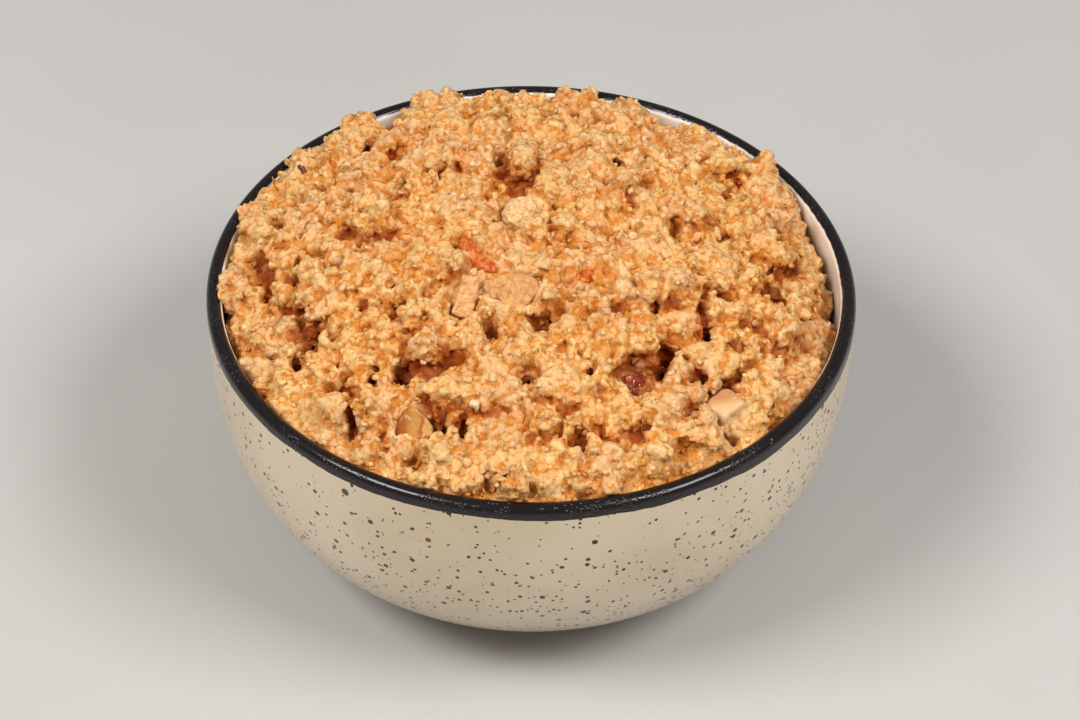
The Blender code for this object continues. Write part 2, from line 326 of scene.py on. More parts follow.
bowl = {
    "rimRadius": 70.0 * mm,
    "rimTop": 64.5 * mm,
    "beadRadius": 1.7 * mm,
    "footRadius": 33.6 * mm,
    "footHeight": 3.5 * mm,
    "footWidth": 5.4 * mm,
    "footRounding": 0.7 * mm,
    "recessHeight": 3.0 * mm,
    "flare": 2.95,
    "fullness": 1.67,
    "floorThickness": 4.6 * mm,
    "turnSteps": 224,
    "wallSteps": 44,
    "beadSteps": 20,
    "bandDrop": 2.9 * mm,           # dark glaze on the outside, under the top of the rim
    "bandInside": 66.95 * mm,       # radius where the dark glaze ends on the inside
    "bandSoftness": 0.1 * mm,
    "cream": (0.62, 0.505, 0.345),
    "creamPale": (0.70, 0.585, 0.425),
    # painted shade for the lower outside
    "creamPaintedShade": (0.33, 0.260, 0.175),
    "inside": (0.93, 0.90, 0.84),
    "dark": (0.008, 0.005, 0.006),
    "speck": (0.014, 0.009, 0.006),
    "speckOlive": (0.060, 0.052, 0.022),
    "speckSizes": ((2.0 * mm, 0.66 * mm), (1.3 * mm, 0.44 * mm), (3.4 * mm, 0.76 * mm)),
    "bareClay": (0.55, 0.42, 0.30),
    # Larger single spots: place in mm, radius, colour
    "marks": (((-20.1, -66.9, 52.5), 0.75 * mm, (0.16, 0.045, 0.020)),
              ((-37.2, -59.3, 58.3), 0.95 * mm, (0.055, 0.070, 0.030))),
}


beadCentre = (bowl["rimRadius"] - bowl["beadRadius"], bowl["rimTop"] - bowl["beadRadius"])


def outerWall(share):
    # Radius and height of the outside, share 0 at the foot and 1 at the rim
    swell = (1 - (1 - share) ** bowl["flare"]) ** (1 / bowl["fullness"])
    radius = bowl["footRadius"] + (bowl["rimRadius"] - bowl["footRadius"]) * swell
    return radius, bowl["footHeight"] + (beadCentre[1] - bowl["footHeight"]) * share


def innerWall(share):
    step = 0.002
    low = outerWall(max(share - step, 0.0))
    high = outerWall(min(share + step, 1.0))
    length = math.dist(low, high)
    radius, height = outerWall(share)
    rimThickness = 2 * bowl["beadRadius"]
    thickness = bowl["floorThickness"] + (rimThickness - bowl["floorThickness"]) * share
    return (radius - (high[1] - low[1]) / length * thickness,
            height - (low[0] - high[0]) / length * thickness)


def wallShares(steps):
    # From foot to rim, closer together near the foot
    return [(step / steps) ** 1.7 for step in range(steps + 1)]


def arc(centre, radius, first, last, steps):
    angles = [math.radians(first + (last - first) * step / steps) for step in range(steps + 1)]
    return [(centre[0] + radius * math.cos(a), centre[1] + radius * math.sin(a)) for a in angles]


def bowlProfile():
    # From the axis under the base, out and up the outside, over the bead and down the inside
    rounding = bowl["footRounding"]
    ringOuter = bowl["footRadius"] - rounding
    ringInner = bowl["footRadius"] - bowl["footWidth"] - rounding
    points = [(0.0, bowl["recessHeight"])]
    points += [(ringInner * share / 4, bowl["recessHeight"]) for share in (1, 2, 3)]
    points += arc((ringInner - 2 * rounding, bowl["recessHeight"] - rounding), rounding, 90, 0, 5)
    points += arc((ringInner + rounding, rounding), rounding, 180, 270, 5)
    points += arc((ringOuter, rounding), rounding, 270, 360, 6)
    shares = wallShares(bowl["wallSteps"])
    points += [outerWall(share) for share in shares]
    points += arc(beadCentre, bowl["beadRadius"], 0, 180, bowl["beadSteps"])[1:-1]
    points += [innerWall(share) for share in reversed(shares[::2])]
    points.append((0.0, points[-1][1]))
    return points


def turnTree():
    # Turns a row of points round the Z axis: a grid is bent round, and its poles are merged
    start, inputs = startTree("turnedShape", {
        "Profile": "Object", "Points": "Int", "Steps": "Int", "Merge": "Float", "Finish": "Material"})
    grid = start.make("GeometryNodeMeshGrid", {
        "Size X": 1.0, "Size Y": 1.0, "Vertices X": inputs["Steps"], "Vertices Y": inputs["Points"]})
    spot = start.make("GeometryNodeInputPosition", {})
    along = spot.part(1) + 0.5
    row = along * (inputs["Points"] - 1)
    profile = start.make("GeometryNodeObjectInfo", {"Object": inputs["Profile"]}, "Geometry")
    sampled = start.make("GeometryNodeSampleIndex", {
        "Geometry": profile, "Value": spot, "Index": row.then("ROUND")}, data_type="FLOAT_VECTOR")
    radius, height = sampled.part(0), sampled.part(2)
    angle = (spot.part(0) + 0.5) * math.tau
    bent = start.make("ShaderNodeCombineXYZ", {
        0: radius * angle.then("COSINE"), 1: radius * angle.then("SINE"), 2: height})
    shape = keepAttribute(grid, "along", along)
    shape = start.make("GeometryNodeSetPosition", {"Geometry": shape, "Position": bent})
    shape = start.make("GeometryNodeMergeByDistance", {"Geometry": shape, "Distance": inputs["Merge"]})
    shape = start.make("GeometryNodeRealizeInstances", {"Geometry": shape})
    shape = start.make("GeometryNodeSetMaterial", {"Geometry": shape, "Material": inputs["Finish"]})
    return finishTree(shape)


def glazePaint(rimShare):
    # rimShare is how far along the profile the top of the rim is
    material, place = startMaterial("speckledGlaze")
    x, y, z = (place.part(axis) for axis in range(3))
    radius = (x * x + y * y).then("SQRT")
    wander = grain(place, 14 * mm) - 0.5
    ripple = grain(place, 2.2 * mm) - 0.5
    rightSide = fade(x / radius, 0.1, 0.9)
    within = fade(attribute(place, "along"), rimShare, rimShare + 0.001)

    # Dark band: its lower edge wanders, and it is wider on the right
    soft = bowl["bandSoftness"]
    drop = bowl["bandDrop"] + (wander * 1.4 + ripple * 0.35 + rightSide * 0.8) * mm
    outside = fade(z + drop, bowl["rimTop"] - soft, bowl["rimTop"] + soft)
    inside = fade(radius - (wander * 0.5 + ripple * 0.3) * mm,
                  bowl["bandInside"] - soft, bowl["bandInside"] + soft)
    band = within.make("ShaderNodeMix", {0: within, 2: outside, 3: inside}, data_type="FLOAT")

    # Specks: in each cell a spot of its own size, more of them low down and on the right
    crowd = 0.32 + 0.38 * fade(z, 60 * mm, 30 * mm) + 0.25 * rightSide + (grain(place, 12 * mm) - 0.5) * 1.6
    specks = None
    for size, widest in bowl["speckSizes"]:
        uneven = stir(place, 0.7 * mm, 0.45 * widest)
        draw = cells(uneven, size, output="Color")
        own, tone = draw.channel(0), draw.channel(1)
        reach = own.then("LESS_THAN", crowd) * (0.35 + 0.65 * tone * tone) * (widest / size)
        spot = (1 - fade(cells(uneven, size) - reach, -0.02, 0.01)) * (0.75 + 0.25 * tone)
        specks = spot if specks is None else specks.then("MAXIMUM", spot)
    specks = specks * (1 - within)

    cloudy = fade(grain(place, 30 * mm, 3.0), 0.35, 0.65)
    colour = mixColours(cloudy, bowl["cream"], bowl["creamPale"])
    # Painted shade: the outside darker and greyer towards the foot
    colour = mixColours(fade(z, 36 * mm, 8 * mm) * 0.8, colour, bowl["creamPaintedShade"])
    colour = mixColours(within, colour, bowl["inside"])
    tinge = mixColours(fade(grain(place, 5 * mm), 0.4, 0.6), bowl["speck"], bowl["speckOlive"])
    colour = mixColours(specks, colour, tinge)
    for spot, reach, tone in bowl["marks"]:
        away = place.vector("DISTANCE", tuple(part * mm for part in spot), "Value")
        mark = 1 - fade(away + ripple * 0.9 * mm, reach * 0.8, reach)
        colour = mixColours(mark, colour, tone)
    bare = 1 - fade(z + ripple * 0.4 * mm, 0.7 * mm, 1.0 * mm)
    colour = mixColours(bare, colour, bowl["bareClay"])
    colour = mixColours(band, colour, bowl["dark"])

    # The dark glaze is pitted in places
    pits = fade(cells(place, 0.8 * mm), 0.12, 0.45)
    patchy = fade(grain(place, 16 * mm), 0.42, 0.58)
    normal = bump(1 - (1 - pits) * band * patchy, 0.14 * mm)
    normal = bump(grain(place, 7 * mm), 0.10 * mm, normal)
    return finishMaterial(material, {
        "Base Color": colour,
        "Roughness": 0.20 + 0.10 * grain(place, 5 * mm) + bare * 0.5 - band * 0.07,
        "Normal": normal,
        "Coat Weight": 0.12 * (1 - bare) * (1 - band),
        "Coat Roughness": 0.15,
        "Specular IOR Level": 0.42,
    })


def buildBowl():
    points = bowlProfile()
    outline = bpy.data.meshes.new("bowlOutline")
    outline.from_pydata([(radius, 0.0, height) for radius, height in points], [], [])
    profile = addObject("bowlOutline", outline)
    highest = max(range(len(points)), key=lambda index: points[index][1])
    glaze = glazePaint(highest / (len(points) - 1))
    item = grow("bowl_glazed", bpy.data.meshes.new("bowl_glazed"), turnTree(), {
        "Profile": profile, "Points": len(points), "Steps": bowl["turnSteps"] + 1,
        "Merge": 0.01 * mm, "Finish": glaze})
    bpy.data.objects.remove(profile)
    finishPiece(item, glaze, ["bowl"])


buildBowl()


# Halwa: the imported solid's form, grown over with lumps and crumbs that all melt into one skin

heap = {
    "cutLevel": 47.0 * mm,          # under this the heap is plain and out of sight
    "trim": 1.2 * mm,               # cut off again at the end, with the flat underside
    "lowRings": (38, 28, 20, 14, 10, 8.6),  # heights in mm of the plain sides under that
    "clearance": 0.35 * mm,         # between the heap and the bowl
    "nutShrink": 0.6 * mm,          # how far the halwa closes in over the nuts' faces
    "closing": 0.7 * mm,            # gaps of the solid narrower than twice this are filled
    "bodyVoxel": 0.9 * mm,
    "hollow": 1.2 * mm,             # wide hollows deeper than this are filled up by a share
    "filling": 0.75,
    "fillEdge": 58 * mm,            # radius up to which they are filled, and more at the front
    "fillFront": 8 * mm,
    "besideNut": (0.8 * mm, 3.5 * mm),  # nothing is raised nearer to a nut, everything farther off
    "swell": (8.0 * mm, 1.2 * mm),  # size and height of the broad unevenness
    "hollowDepth": 4.7 * mm,        # this far under its surroundings a spot gets its darkest painted shade
    "mapWidth": 140.0 * mm,
    "triangles": 194000,
    "spare": 1.18,                  # times as many before the underside is cut off
    # How far under the rim the halwa meets the wall: compass angle and mm
    "edge": ((0, 10.0), (14, 9.0), (25, 4.5), (33, 2.0), (48, 3.5), (55, 6.5), (65, 6.5), (70, 4.0),
             (75, 1.5), (83, 1.5), (87, 5.0), (91, 2.5), (94, 5.5), (101, 5.5), (105, 3.5), (110, 3.0),
             (115, 7.5), (123, 8.5), (128, 4.0), (133, 2.0), (150, 1.0), (172, 2.0), (192, 6.0),
             (222, 3.0), (270, 1.0), (305, 2.0), (335, 6.0), (348, 9.0), (360, 10.0)),
    "edgeSlope": 0.8,
    "edgeUneven": (6 * mm, 4.0 * mm),  # size and height
    # Dark gaps between the lumps: x, y, half width and half length in mm
    "gaps": (
        (-25.9, -37.8, 3.0, 4.4), (-8.8, -28.5, 2.9, 4.2), (1.5, -27.0, 3.1, 3.2), (10.3, -55.2, 2.0, 5.4),
        (27.7, -33.8, 2.3, 5.0), (51.2, -11.2, 3.9, 2.4), (40.5, -35.6, 2.7, 2.8), (-36.0, -48.2, 2.4, 3.6),
        (-0.8, -42.0, 2.2, 3.4), (-40.4, 21.8, 3.0, 2.6), (18.5, 22.6, 2.6, 3.0), (-48.1, -31.5, 2.3, 2.5),
        (-44.5, -23.2, 2.5, 3.8), (-13.6, -51.3, 2.1, 3.8), (-32.4, -38.7, 1.8, 3.8),
        (35.0, -35.3, 2.3, 2.3),
        (36.5, -24.7, 2.4, 3.4), (12.6, -39.2, 1.9, 2.6), (-1.5, -50.7, 2.0, 1.6), (-38.1, -19.3, 1.4, 3.1),
        (-19.8, -29.7, 1.7, 1.9), (-29.3, -16.9, 1.5, 2.1), (35.3, -9.3, 1.5, 1.9), (16.8, -0.9, 1.4, 2.1),
        (25.7, -23.7, 1.4, 2.2), (-21.5, -59.8, 2.2, 2.2), (-8.0, -62.5, 2.0, 1.8), (40.0, 24.0, 1.8, 1.8),
        (50.0, 8.0, 1.8, 2.2), (-28.2, -53.0, 1.7, 2.8), (-24.0, -56.2, 2.6, 1.6), (-17.3, -51.0, 1.3, 2.6),
        (40.5, -47.6, 3.4, 1.5), (35.0, -43.0, 1.4, 2.0), (-33.5, 54.0, 4.4, 10.0), (-10.5, 61.5, 7.5, 3.6),
    ),
    "gapUneven": (2.2 * mm, 1.3),   # size, and reach in mm
    "gapDepth": (3.4, 1.5),         # mm, and mm more for each mm of the gap's smaller half
}

lumpLayers = {
    # the lump tree's inputs, and the voxel size that melts the lumps into the skin
    "clumps": {"Spacing": 5.2 * mm, "Smallest": 2.0 * mm, "Largest": 4.4 * mm, "Sunk": 0.45,
               "Uneven": 2.6 * mm, "Seed": 5, "voxel": 0.7 * mm},
    "lumps": {"Spacing": 2.7 * mm, "Smallest": 0.9 * mm, "Largest": 2.0 * mm, "Sunk": 0.25,
              "Uneven": 1.0 * mm, "Seed": 8, "voxel": 0.44 * mm},
    "crumbs": {"Spacing": 1.25 * mm, "Smallest": 0.42 * mm, "Largest": 0.85 * mm, "Sunk": 0.10,
               "Uneven": 0.5 * mm, "Seed": 12, "voxel": 0.33 * mm},
}

relief = {
    "warp": ((5.0 * mm, 2.4 * mm), (1.3 * mm, 0.5 * mm)),      # size and reach of the bending
    "domes": ((5.2 * mm, 1.60 * mm), (2.7 * mm, 1.20 * mm), (1.4 * mm, 0.62 * mm)),  # size, height
    "shade": (0.36, 0.54, 0.42),    # how much painted shade the creases of each get
    "granule": 1.15 * mm,           # size of the finest domes, which only the material bumps
}

cellReach = 0.78    # from a cell's middle to its edge, as a share of its size
domeMean = 0.7      # mean height of a dome, as a share of its top

loose = {
    # the crumb tree's inputs
    "Spacing": 3.6 * mm,
    "Smallest": 0.45 * mm,
    "Largest": 0.95 * mm,
    "Lowest": -0.20 * mm,           # how far a crumb's middle stands out of the skin
    "Highest": 0.35 * mm,
    "Rounding": 2,                  # turns of subdivision
    "Seed": 3,
    # no crumbs nearer to a nut or the wall than this, or lower
    "offNuts": 0.7 * mm,
    "offWall": 0.8 * mm,
    "lowest": 51 * mm,
}

halwaColours = {
    "golden": (0.755, 0.452, 0.175),
    "tan": (0.715, 0.425, 0.200),
    "pale": (0.895, 0.630, 0.315),
    # amber and deep are painted shade, for the creases and hollows
    "amber": (0.64, 0.235, 0.034),
    "deep": (0.28, 0.045, 0.003),
}


def roomTable():
    # Heights and free radii inside the bowl, past the bead and over the rim
    points = [innerWall(share) for share in wallShares(60)]
    points += arc(beadCentre, bowl["beadRadius"], 180, 90, 6)
    points.append((bowl["rimRadius"] - 2.3 * mm, bowl["rimTop"] + 0.4 * mm))
    points.append((bowl["rimRadius"] - 1.0 * mm, bowl["rimTop"] + 4.0 * mm))
    radii, heights = np.array(points).T
    return heights, radii


freeRoom = roomTable()


def roomRadius(heights):
    return np.interp(heights, *freeRoom) - heap["clearance"]


def nutsMesh(shrink=0.0):
    bm = bmesh.new()
    for name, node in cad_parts.items():
        if name not in ("bowl", "halwa"):
            bm.from_mesh(node.data)
    bmesh.ops.remove_doubles(bm, verts=bm.verts, dist=0.001 * mm)
    for vert in bm.verts:
        vert.co -= vert.normal * shrink
    return meshOf(bm, "nutSolids")


def surroundings(places, highWidth, evenWidth):
    # For each place, the highest the heap is within one width of it, evened out over the other
    pitch = 0.7 * mm
    half = 72 * mm
    count = int(2 * half / pitch) + 1
    rows, columns = (((places[:, axis] + half) / pitch + 0.5).astype(int) for axis in (0, 1))
    tops = np.zeros((count, count))
    np.maximum.at(tops, (rows, columns), places[:, 2])

    def spread(blend):
        padded = np.pad(tops, 1, mode="edge")
        steps = ((0, 1), (2, 1), (1, 0), (1, 2), (1, 1))
        return blend([padded[a:a + count, b:b + count] for a, b in steps], axis=0)

    while not tops.all():
        tops = np.where(tops > 0, tops, spread(np.max))  # past the heap's edge
    for blend in [np.max] * int(highWidth / pitch) + [np.mean] * int(evenWidth / pitch) * 2:
        tops = spread(blend)
    return tops[rows, columns]


def cutBelow(bm, level):
    return bmesh.ops.bisect_plane(bm, geom=bm.verts[:] + bm.edges[:] + bm.faces[:], clear_outer=True,
                                  plane_co=(0, 0, level), plane_no=(0, 0, -1))


def bodyOf():
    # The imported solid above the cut, its narrow gaps closed and its edges rounded off
    bm = mergedCopy("halwa")
    cut = cutBelow(bm, heap["cutLevel"])
    rim = [part for part in cut["geom_cut"] if isinstance(part, bmesh.types.BMEdge)]
    bmesh.ops.contextual_create(bm, geom=rim)
    bm.from_mesh(nutsMesh(heap["nutShrink"]))
    item = addObject("heap_core", meshOf(bm, "heap_core"))
    remesh(item, heap["bodyVoxel"], 4)
    push(item.data, heap["closing"])
    remesh(item, heap["bodyVoxel"], 2)
    push(item.data, -heap["closing"])
    remesh(item, heap["bodyVoxel"], 6)
    return item


def evenOut(mesh):
    # Fills wide hollows by a share and raises the edge to where the photo has it
    places = placesOf(mesh)
    radius = fromAxis(places)
    besideNut = smoothstep(distanceTo(nutsMesh(), places, 4 * mm), *heap["besideNut"])

    # Under the high ground round about, and not low down or out at the edge
    sunk = surroundings(places, 9 * mm, 6 * mm) - surroundings(places, 0.0, 5 * mm)
    front = smoothstep(-places[:, 1] / radius, 0.45, 0.85)
    edge = heap["fillEdge"] + heap["fillFront"] * front
    free = smoothstep(places[:, 2], heap["cutLevel"] + 2 * mm, heap["cutLevel"] + 6 * mm)
    free *= besideNut * (1 - smoothstep(radius, edge, edge + 6 * mm))
    places[:, 2] += np.maximum(sunk - heap["hollow"], 0) * heap["filling"] * free

    # The edge, sloping up from the wall towards the middle
    angle = np.degrees(np.arctan2(places[:, 1], places[:, 0])) % 360
    brim = bowl["rimTop"] - np.interp(angle, *zip(*heap["edge"])) * mm
    brim += np.clip(67 * mm - radius, 0, 7 * mm) * heap["edgeSlope"]
    size, height = heap["edgeUneven"]
    brim += height * noiseAt(places, size)
    free = smoothstep(normalsOf(mesh)[:, 2], 0.1, 0.5) * smoothstep(radius, 48 * mm, 58 * mm)
    places[:, 2] += np.maximum(brim - places[:, 2], 0) * free * besideNut
    setPlaces(mesh, places)

    # Broad unevenness, but not beside the nuts
    size, height = heap["swell"]
    push(mesh, (height * noiseAt(places, size) * besideNut)[:, None])


def sinkGaps(mesh):
    # Presses the dark gaps into the heap, with steep and uneven edges
    places = placesOf(mesh)
    size, reach = heap["gapUneven"]
    shaken = np.array([noise.noise_vector(Vector(place) / size)[:2] for place in places])
    spots = places[:, :2] / mm + shaken * reach
    least, more = heap["gapDepth"]
    lowering = np.zeros(len(places))
    for x, y, wide, long in heap["gaps"]:
        away = np.hypot((spots[:, 0] - x) / wide, (spots[:, 1] - y) / long)
        deep = (least + more * min(wide, long)) * mm
        lowering = np.maximum(lowering, deep * (1 - smoothstep(away, 0.60, 0.92)))
    lowering *= smoothstep(distanceTo(nutsMesh(), places, 2 * mm), 0.5 * mm, 1.5 * mm)
    lowering *= smoothstep(places[:, 2], heap["cutLevel"] + 3 * mm, heap["cutLevel"] + 9 * mm)
    places[:, 2] -= lowering
    setPlaces(mesh, places)


def ownValue(seed, kind, low, high):
    # A random number or vector for each point
    first, last, output = {"FLOAT": (2, 3, 1), "FLOAT_VECTOR": (0, 1, 0)}[kind]
    values = {first: low, last: high, "Seed": seed}
    return seed.make("FunctionNodeRandomValue", values, output, data_type=kind)


def ownSize(inputs, seed):
    # Between the smallest and the largest, and more often small
    share = ownValue(seed, "FLOAT", 0.0, 1.0)
    return inputs["Smallest"] + (inputs["Largest"] - inputs["Smallest"]) * share * share


def strew(inputs, values):
    # Points on the surface, and the surface's direction at each
    spacing = inputs["Spacing"]
    points = spacing.make("GeometryNodeDistributePointsOnFaces", {
        "Mesh": inputs["Surface"], "Distance Min": spacing, "Density Max": 1.8 / (spacing * spacing),
        "Seed": inputs["Seed"], **values}, distribute_method="POISSON")
    return points, Wire(points.tree, points.socket.node.outputs["Normal"])


def putLumps(points, inputs, size, rounding, least, most):
    # An uneven lump on each point, turned and stretched in its own way
    seed = inputs["Seed"]
    lump = points.make("GeometryNodeMeshIcoSphere", {"Radius": 1.0, "Subdivisions": rounding})
    turn = ownValue(seed + 4, "FLOAT_VECTOR", (0.0, 0.0, 0.0), (math.tau, math.tau, math.tau))
    lumps = points.make("GeometryNodeInstanceOnPoints", {
        "Points": points, "Instance": lump,
        "Rotation": points.make("FunctionNodeEulerToRotation", {0: turn}),
        "Scale": ownValue(seed + 3, "FLOAT_VECTOR", least, most).scaled(size)})
    return points.make("GeometryNodeRealizeInstances", {"Geometry": lumps})


def nutDistance(inputs):
    nuts = inputs["Nuts"].make("GeometryNodeObjectInfo", {"Object": inputs["Nuts"]}, "Geometry")
    return nuts.make("GeometryNodeProximity", {"Geometry": nuts}, "Distance")


def lumpTree():
    # Joins a surface with lumps half sunk in it
    start, inputs = startTree("lumps", {
        "Surface": "Geometry", "Nuts": "Object", "Spacing": "Float", "Smallest": "Float",
        "Largest": "Float", "Sunk": "Float", "Uneven": "Float", "Seed": "Int"})
    points, outward = strew(inputs, {})
    size = ownSize(inputs, inputs["Seed"] + 1)
    sinking = ownValue(inputs["Seed"] + 2, "FLOAT", -1.6, 0.0)
    points = moveBy(points, outward.scaled(size * inputs["Sunk"] * sinking))
    inNut = nutDistance(inputs).then("LESS_THAN", size - 0.25 * inputs["Smallest"])
    points = start.make("GeometryNodeDeleteGeometry", {
        "Geometry": points, "Selection": inNut}, domain="POINT")
    lumps = putLumps(points, inputs, size, 2, (0.75, 0.75, 0.7), (1.2, 1.2, 1.1))
    place = start.make("GeometryNodeInputPosition", {})
    lumps = moveBy(lumps, jolt(place, inputs["Largest"], inputs["Uneven"], 1.0))
    both = start.make("GeometryNodeJoinGeometry", {})
    for shape in (inputs["Surface"], lumps):
        start.tree.links.new(shape.socket, both.socket.node.inputs[0])
    return finishTree(both)


def reliefTree():
    # Pushes a surface out into packed lumps with creases between them, and keeps how much painted shade
    # each crease gets
    start, inputs = startTree("halwaRelief", {"Surface": "Geometry", "Nuts": "Object", "Low Edge": "Float"})
    place = start.make("GeometryNodeInputPosition", {})
    normal = start.make("GeometryNodeInputNormal", {})
    spot = place
    for size, reach in relief["warp"]:
        spot = spot.vector("ADD", jolt(place, size, 2 * reach, 1.0))
    above = place.part(2) - inputs["Low Edge"]
    free = fade(nutDistance(inputs), 0.5 * mm, 2.0 * mm) * fade(above, 1.0 * mm, 3.0 * mm)
    rugged = 0.65 + fade(grain(place, 7 * mm), 0.38, 0.62) * 0.35
    rise, crease = None, None
    for (size, tall), shade in zip(relief["domes"], relief["shade"]):
        dome = hump(spot, size, cellReach).then("SQRT")
        layer = (dome - domeMean) * tall
        rise = layer if rise is None else rise + layer
        crease = (1 - dome) * shade if crease is None else crease + (1 - dome) * shade
    # The creases' painted shade, which the material turns amber
    shape = keepAttribute(inputs["Surface"], "crease", crease * rugged * free)
    return finishTree(moveBy(shape, normal.scaled(rise * rugged * free)))


def crumbTree():
    # Loose crumbs where the surface is sticky
    start, inputs = startTree("crumbs", {
        "Surface": "Geometry", "Spacing": "Float", "Smallest": "Float", "Largest": "Float",
        "Lowest": "Float", "Highest": "Float", "Rounding": "Int", "Seed": "Int", "Finish": "Material"})
    sticky = start.make("GeometryNodeInputNamedAttribute", {"Name": "sticky"}, data_type="FLOAT")
    points, outward = strew(inputs, {"Density Factor": sticky})
    height = ownValue(inputs["Seed"] + 1, "FLOAT", inputs["Lowest"], inputs["Highest"])
    points = moveBy(points, outward.scaled(height))
    size = ownSize(inputs, inputs["Seed"] + 2)
    crumbs = putLumps(points, inputs, size, inputs["Rounding"], (0.7, 0.7, 0.65), (1.3, 1.3, 1.1))
    place = start.make("GeometryNodeInputPosition", {})
    crumbs = moveBy(crumbs, jolt(place, inputs["Largest"], inputs["Largest"] * 1.6, 2.0))
    fromAbove = place.scaled(1 / heap["mapWidth"]).vector("ADD", (0.5, 0.5, 0.0))
    crumbs = keepAttribute(crumbs, "OFBake", fromAbove, "FLOAT2", "CORNER")
    crumbs = start.make("GeometryNodeSetMaterial", {"Geometry": crumbs, "Material": inputs["Finish"]})
    return finishTree(crumbs)


def keepInRoom(mesh):
    # Draws in what would reach into the bowl's wall
    places = placesOf(mesh)
    reach = fromAxis(places)
    room = roomRadius(places[:, 2])
    places[:, :2] *= np.where(reach > room, room / reach, 1.0)[:, None]
    setPlaces(mesh, places)


def markSkin(mesh):
    # Attributes for how deep a spot lies, which the material paints as shade, and whether crumbs stick to
    # it
    places = placesOf(mesh)
    radius = fromAxis(places)
    bare = distanceTo(nutsMesh(), places, 2 * mm) < loose["offNuts"]
    bare |= roomRadius(places[:, 2]) - radius < loose["offWall"]
    bare |= (places[:, 2] < loose["lowest"]) | (normalsOf(mesh)[:, 2] < -0.5)
    setAttribute(mesh, "sticky", ~bare)
    sunk = (surroundings(places, 3 * mm, 3 * mm) - places[:, 2]) / heap["hollowDepth"]
    sunk *= 1 - 0.7 * smoothstep(radius, 55 * mm, 64 * mm)
    setAttribute(mesh, "depth", np.clip(sunk, 0, 1))


def closeBelow(mesh):
    # Takes off the flat underside and carries the sides down to the bowl's floor
    bm = bmesh.new()
    bm.from_mesh(mesh)
    cutBelow(bm, heap["cutLevel"] + heap["trim"])
    edges = [edge for edge in bm.edges if edge.is_boundary]
    for height in heap["lowRings"]:
        raised = bmesh.ops.extrude_edge_only(bm, edges=edges)
        radius = float(roomRadius(height * mm))
        for part in raised["geom"]:
            if isinstance(part, bmesh.types.BMVert):
                part.co = (*(part.co.xy.normalized() * radius), height * mm)
        edges = [part for part in raised["geom"] if isinstance(part, bmesh.types.BMEdge)]
    bmesh.ops.contextual_create(bm, geom=edges)
    bmesh.ops.recalc_face_normals(bm, faces=bm.faces)
    bm.to_mesh(mesh)
    bm.free()


def mapSkin(mesh):
    # A map seen from above, with the part that is out of sight small in a corner
    places = placesOf(mesh)
    points = places[:, :2] / heap["mapWidth"] + 0.5
    hidden = places[:, 2] < heap["cutLevel"] + 1.0 * mm
    points[hidden] = points[hidden] * 0.1
    setMap(mesh, points)


def halwaPaint(name, creaseShare, granuleHeight):
    material, place = startMaterial(name)
    depth = attribute(place, "depth")
    crease = attribute(place, "crease") * creaseShare
    patches = fade(grain(place, 16 * mm, 3.0), 0.38, 0.62)

    # Granules: a rounded bump on each cell, with narrow creases between them that get painted shade
    size = relief["granule"]
    shaken = stir(place, 1.0 * mm, 0.9 * mm)
    granule = hump(shaken, size, 0.90)
    tint = cells(shaken, size, output="Color").channel(0)
    # Painted shade between the granules
    edge = fade(granule, 0.65, 0.25) * (0.15 + grain(place, 4 * mm))
    flecks = grain(place, 0.9 * mm)

    colour = mixColours(patches, halwaColours["golden"], halwaColours["tan"])
    # Paler granules at random, kept out of the creases' painted shade
    light = fade(flecks * 0.5 + tint * 0.6 - crease, 0.30, 0.95)
    colour = mixColours(light, colour, halwaColours["pale"])
    # Painted shade: amber in the creases, the hollows and between the granules, less on some granules at
    # random
    dark = fade(crease + depth * 0.55 + edge * 0.78 - (tint - 0.5) * 0.3, 0.32, 1.02)
    colour = mixColours(dark, colour, halwaColours["amber"])
    # Painted shade: dark brown deep in the hollows
    colour = mixColours(fade(depth + crease * 0.4, 0.68, 1.25), colour, halwaColours["deep"])
    normal = bump(granule * (0.3 + grain(place, 3 * mm)), granuleHeight)
    normal = bump(grain(place, 0.40 * mm), 0.07 * mm, normal)
    return finishMaterial(material, {
        "Base Color": colour,
        "Roughness": 0.36 + 0.3 * grain(place, 1.1 * mm),
        "Normal": normal,
        "Subsurface Weight": 0.35,
        "Subsurface Radius": (1.0, 0.38, 0.14),
        "Subsurface Scale": 0.6 * mm,
        "Specular IOR Level": 0.16,
    })


def buildCrumbs(mesh):
    # Loose crumbs on the skin
    paint = halwaPaint("looseHalwa", 0.3, 0.20 * mm)
    crumbs = grow("crumbs", mesh, crumbTree(), {"Finish": paint, **loose})
    finishPiece(crumbs, paint, [])


def buildHalwa():
    nuts = addObject("nutSolids", nutsMesh())
    item = bodyOf()
    evenOut(item.data)
    tree = lumpTree()
    for name, layer in lumpLayers.items():
        growOn(item, tree, {"Nuts": nuts, **layer})
        remesh(item, layer["voxel"], 1)
        if name == "clumps":
            sinkGaps(item.data)
    growOn(item, reliefTree(), {"Nuts": nuts, "Low Edge": heap["cutLevel"]})
    bpy.data.objects.remove(nuts)
    print("skin", len(item.data.polygons), "faces")
    thin = item.modifiers.new("thin", "DECIMATE")
    thin.ratio = heap["triangles"] * heap["spare"] / (2 * len(item.data.polygons))
    bake(item)
    keepInRoom(item.data)
    markSkin(item.data)
    buildCrumbs(item.data)
    closeBelow(item.data)
    mapSkin(item.data)
    finishPiece(item, halwaPaint("halwa", 1.0, 0.34 * mm), ["halwa"])


buildHalwa()


# Nut pieces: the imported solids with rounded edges, each with lumps or wrinkles and its own colours

